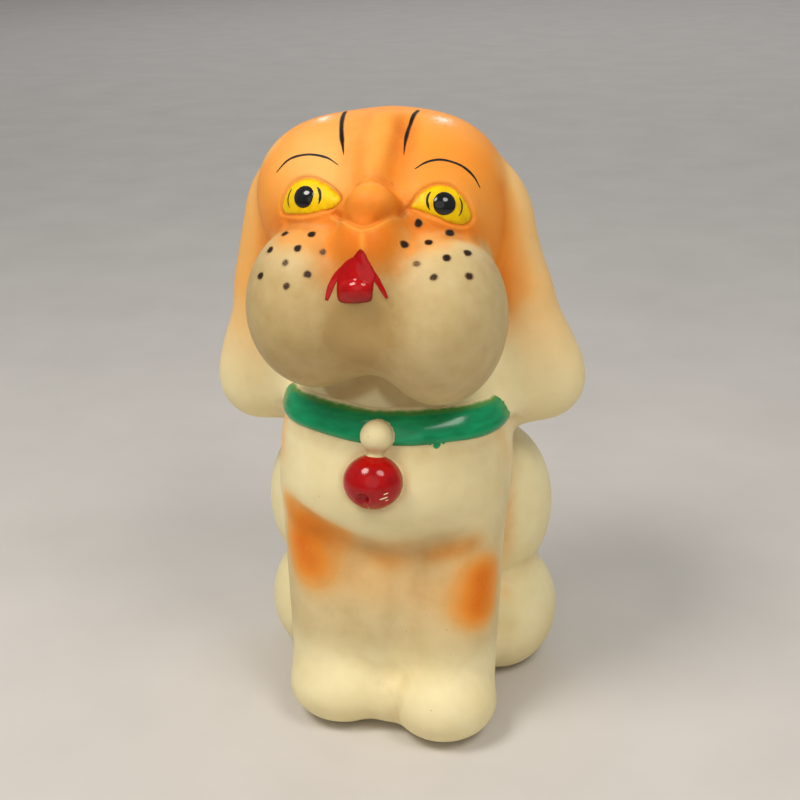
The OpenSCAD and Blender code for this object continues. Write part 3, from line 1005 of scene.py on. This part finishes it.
SCUFFS = [((-17.5, 1, 167), 2.0), ((14.5, 0.5, 167.2), 2.2), ((30, 22, 66), 2.0), ((-33, 16, 24), 2.4)]
HEAD_SPRAY, EAR_SPRAY_AND_LIGHT = 0.64, (0.42, 0.33)  # overall strength on the head, and on the -X and +X ears; the +X ear's weaker spray is painted light, so that ear looks more lit
RIDGE_WEAR = 0.3  # share of the orange rubbed off the ridges of the face
FOLD = [(-26, -24, 63), (-11, -30, 57.4), (4.8, -30, 53.4), (25, -27, 59)]  # path just under the belly
# Strengths of the browning and painted shade, and the middle of the painted shadow under the mouth
MUZZLE_TAN_AND_SHADE, MOUTH_SHADOW, LEG_FRONT_DARKENING, FOLD_SHADE, CHEST_SIDE_SHADE = (0.88, 0.76), 0.55, 0.5, 0.65, 0.25
CHIN_MID = (0.5, -38, 124)
# Forms whose surface the overall orange leaves cream
MUZZLE = [form for _, form in HEAD_FORMS if form.centre[1] < -18 and form.centre[2] < 135]


def muzzle_amount(points):
    """1 on the muzzle, with a wider edge between the cheeks."""
    depth = np.min([form.distance(points) for form in MUZZLE], axis=0)
    wider = 5 * (1 - smooth_step(points[:, 2], 134, 141)) * (1 - smooth_step(np.abs(points[:, 0]), 12, 20))
    return smooth_step(-depth, -2.4 - wider, -wider) * smooth_step(-points[:, 1], 4, 12)


def orange_amount(points):
    """Overall orange on the head and ears, then each pass of the airbrush, less what has rubbed off."""
    x, y, z = points.T
    muzzle = muzzle_amount(points)
    ear = smooth_step(np.abs(x) - 0.12 * (150 - z), 27, 32) * smooth_step(y, -8, -2)
    # the +X ear gets less orange as painted light, so that it looks more lit
    ear_spray_and_light = np.where(x < 0, *EAR_SPRAY_AND_LIGHT) * smooth_step(z, 78, 126)
    head = HEAD_SPRAY * smooth_step(z, 100, 128) * (1 - ear) + ear_spray_and_light * ear
    for centre, radius, drop_by in PALE_SPOTS:
        head = head * (1 - drop_by * hump(np.linalg.norm(points - centre, axis=1), radius))
    amount = head * (1 - muzzle)
    for passes, share in ((DEEP_SPRAY, 1 - muzzle), (MUZZLE_SPRAY, 1), (BODY_SPRAY, 1)):
        for start, end, start_r, end_r, strength in passes:
            amount = spray(points, amount, start, end, start_r, end_r, strength * share)
    local = np.stack(FACE.local(points), 1)
    ridges = np.max([hump(from_path(local, path), 0.9) for path, _, _ in FACE_LINES[1:3]], axis=0)
    return amount * (1 - RIDGE_WEAR * ridges * near(points, FACE.origin, FACE_REACH))


def crease_amount(points, normals, reach=3.5):
    """1 in tight creases, where the skin ahead is closer than the distance walked off it; weaker low down and
    round the collar. It sets the grime and painted shade in the creases."""
    height = points[:, 2]
    lessened = (0.5 + 0.5 * smooth_step(height, 15, 40)) * (1 - 0.92 * hump(height - 97, 14))
    return np.clip((1 - dog_field(points + reach * normals) / reach) * 1.7 - 0.1, 0, 1) * lessened


def tan_and_shade_amount(points):
    """Browning with painted shade on the lower muzzle, painted shadow under the mouth, darker fronts of the
    forelegs, and painted shade under the belly and on one side of the chest.
    """
    x, y, z = points.T
    left_share = smooth_step(x, -8, 8)
    muzzle = muzzle_amount(points) * smooth_step(151 - z, 0, 17)
    muzzle = muzzle * (MUZZLE_TAN_AND_SHADE[0] + (MUZZLE_TAN_AND_SHADE[1] - MUZZLE_TAN_AND_SHADE[0]) * left_share)
    # painted shadow under the mouth, between the cheeks
    chin = MOUTH_SHADOW * hump(np.linalg.norm((points - CHIN_MID) / (1, 1, 1.3), axis=1), 9)
    # darker on the fronts of the forelegs, where they are not orange
    legs = smooth_step(z, 21, 31) * (1 - smooth_step(z, 54, 66)) * smooth_step(-y, 12, 22)
    legs = LEG_FRONT_DARKENING * legs * (1 - orange_amount(points))
    # painted shade just under the belly's fold
    fold = FOLD_SHADE * hump(from_path(points, FOLD), 3.2)
    # painted shade on the chest's +X side, away from the key light
    chest = smooth_step(x, 0, 20) * smooth_step(z, 54, 62) * (1 - smooth_step(z, 84, 90))
    return muzzle + chin + legs + fold + CHEST_SIDE_SHADE * chest * smooth_step(-y, 8, 16)


def paint_vinyl(made, points):
    """Airbrush, grime with painted crease shade, browning with painted shade, and scuff amounts for every
    vertex that is on the outside of the vinyl.
    """
    outer = np.abs(dog_field(points)) < 0.3
    worn = np.max([hump(np.linalg.norm(points - at, axis=1), radius) for at, radius in SCUFFS], axis=0)
    amounts = {"orange": orange_amount(points), "crease": crease_amount(points, skin_normals(points)),
               "tan_and_shade": tan_and_shade_amount(points), "scuff": worn}
    for name, values in amounts.items():
        add_values(made, name, values * outer)


vinyl = soft_vinyl()
shell = add_mesh("vinyl_dog", *mesh_skin(), vinyl)
cut(shell, add_mesh("hollow", *mesh_field(hollow_field, HOLLOW_STEP), vinyl))
cut(shell, add_mesh("hole", *cylinder(HOLE_R, HOLE_TOP), vinyl))
cut(shell, add_mesh("recess", *cylinder(RECESS_R, RECESS_TOP), vinyl))
shell_points = np.empty(len(shell.data.vertices) * 3)
shell.data.vertices.foreach_get("co", shell_points)
paint_vinyl(shell, shell_points.reshape(-1, 3) / METRES)
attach(shell, "root")
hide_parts("vinyl_shell")

# ---- Painted marks -----------------------------------------------------------------------------
yellow = enamel("yellow_enamel", (232, 184, 0), (242, 198, 2), (247, 208, 8), 0.36, (214, 150, 4), 0.05, 0.15)
black = enamel("black_enamel", (7, 7, 8), (11, 11, 12), (20, 20, 22), 0.10, shine=0.5)
black_line = enamel("black_line", (10, 8, 7), (18, 14, 12), (34, 26, 20), 0.4, coat=0.0)
red = enamel("red_enamel", (168, 0, 0), (182, 0, 1), (190, 3, 3), 0.13, edge=(140, 0, 2))
bell_red = enamel("bell_red_enamel", (160, 0, 2), (174, 1, 4), (182, 4, 6), 0.13)
green = collar_enamel()

for side, (patch, outline) in EYES.items():
    eye_edge = closed_spline(outline.curve[::6] * 0.985, 96)
    add_paint(f"eye_yellow_{side}", disc_film(patch, eye_edge, samples=96), yellow)
    middle = PUPILS[side]
    rim = dab(PUPIL_R, 7 + len(side), middle, 0.015)
    pupil = disc_film(patch, rim, middle, thickness=2.2 * FILM, dome=PUPIL_DOME)
    add_paint(f"pupil_{side}", pupil, black)
    arcs = [stroke_film(patch, bow(*arc[:3]), arc[3], thickness=2.0 * FILM) for arc in IRIS_ARCS[side]]
    add_paint(f"iris_arcs_{side}", joined(arcs), black_line)
    add_paint(f"brow_{side}", stroke_film(FACE, *BROWS[side], samples=70), black_line)
    stripe = stroke_film(CROWN, *STRIPES[side], samples=70, tips=(0.8, 0.1))
    add_sprayed(f"forehead_stripe_{side}", stripe, 1.1)
dots = [disc_film(FACE, dab(DOT_R, 31 + n, (u, v), 0.12, 7), (u, v), 24, 0.5 * FILM, flat=True)
        for n, (u, v, _) in enumerate(WHISKERS)]
strengths = np.repeat([strength for _, _, strength in WHISKERS], [len(dot[0]) for dot in dots])
add_sprayed("whisker_dots", joined(dots), strengths)
add_paint("tongue_paint", disc_film(MOUTH, TONGUE, TONGUE_HUB, 96, 1.3 * FILM), red)
lips = [stroke_film(MOUTH, path, width, tips=(0.8, 0.5)) for path, width in LIPS]
add_paint("lip_paint", joined(lips), red)
add_paint("collar_paint", band_film(), green)
add_paint("bell_paint", bell_film(), bell_red)
scratches = [stroke_film(SCRATCHES, bow(*path), width, thickness=1.8 * FILM) for path, width in SCRATCH_LINES]
add_paint("bell_scratches", joined(scratches), vinyl)
flecks = [disc_film(FLECKS, dab(r, n, (u, v), 0.35, 7), (u, v), 24) for n, (u, v, r) in enumerate(FLECK_SPOTS)]
add_paint("collar_flecks", joined(flecks), green)

# ---- Squeaker: the CAD nodes keep their shapes and get their own plastics ----------------------
PLASTICS = {
    "squeaker_cup": moulded_plastic("cup_plastic", (232, 226, 206), (214, 204, 176), 0.38),
    "reed_bed": moulded_plastic("reed_bed_plastic", (202, 204, 196), (182, 182, 170), 0.45),
    "reed_wedge": moulded_plastic("reed_wedge_plastic", (206, 206, 198), (186, 184, 170), 0.45),
    "squeaker_grille": moulded_plastic("grille_plastic", (230, 222, 200), (208, 198, 170), 0.42),
    "reed": drawn_film(),
}
for node, material in PLASTICS.items():
    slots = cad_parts[node].data.materials
    slots.clear()
    slots.append(material)

# ================ Stage ================
# Floor, soft lights from above, and the photograph's camera
FLOOR_HALF = 20000.0
WORLD_COLOUR, WORLD_STRENGTH = (0.86, 0.88, 0.90, 1.0), 0.32
corners = np.array([(-1, -1, 0), (1, -1, 0), (1, 1, 0), (-1, 1, 0)]) * FLOOR_HALF
floor = add_mesh("studio_floor", corners, [(0, 1, 2, 3)], studio_floor(), smooth=False)

TARGET = np.array([1.2, 0, 88.7])  # what the camera and the lights look at
# Area lights: position and aim in drawn mm, size in drawn mm, power in watts, colour
LIGHTS = [
    ("key", (-260, -250, 640), TARGET, 260, 2.4, (1.0, 0.97, 0.92)),
    ("second", (300, -260, 600), TARGET, 260, 1.38, (1.0, 0.97, 0.92)),
    ("front_fill", (60, -900, 460), TARGET, 900, 1.06, (1.0, 0.98, 0.95)),
    ("floor_wash", (0, 1900, 1150), (0, 1950, 0), 2600, 8.5, (0.96, 0.98, 1.0)),
]
for name, at, aim, size, power, colour in LIGHTS:
    light = bpy.data.lights.new(name, "AREA")
    light.shape, light.size, light.energy, light.color = "DISK", size * METRES, power, colour
    lamp = bpy.data.objects.new(name, light)
    lamp.location = Vector(at) * METRES
    lamp.rotation_euler = (Vector(aim) - Vector(at)).to_track_quat("-Z", "Y").to_euler()
    bpy.context.scene.collection.objects.link(lamp)
world = bpy.data.worlds.new("studio")
world.use_nodes = True
background = world.node_tree.nodes["Background"].inputs
background["Color"].default_value, background["Strength"].default_value = WORLD_COLOUR, WORLD_STRENGTH
bpy.context.scene.world = world
bpy.context.scene.view_settings.view_transform = "Standard"

AZIMUTH, ELEVATION, ROLL = np.radians((10.5, 22.0, 1.5))
DISTANCE, LENS = 350.0, 55.94
back = np.array([np.sin(AZIMUTH), -np.cos(AZIMUTH), 0]) * np.cos(ELEVATION) + (0, 0, np.sin(ELEVATION))
level_right = np.array([np.cos(AZIMUTH), np.sin(AZIMUTH), 0])
level_up = np.cross(back, level_right)
right = np.cos(ROLL) * level_right - np.sin(ROLL) * level_up
up = np.sin(ROLL) * level_right + np.cos(ROLL) * level_up
camera = bpy.data.objects.new("camera", bpy.data.cameras.new("camera"))
camera.data.lens, camera.data.sensor_width = LENS, 36.0
camera.data.clip_start, camera.data.clip_end = 0.01, 100.0
turn = Matrix(np.column_stack([right, up, back]).tolist()).to_4x4()
camera.matrix_world = Matrix.Translation(Vector((TARGET + DISTANCE * back) * METRES)) @ turn
bpy.context.scene.collection.objects.link(camera)
bpy.context.scene.camera = camera

bpy.context.view_layer.update()
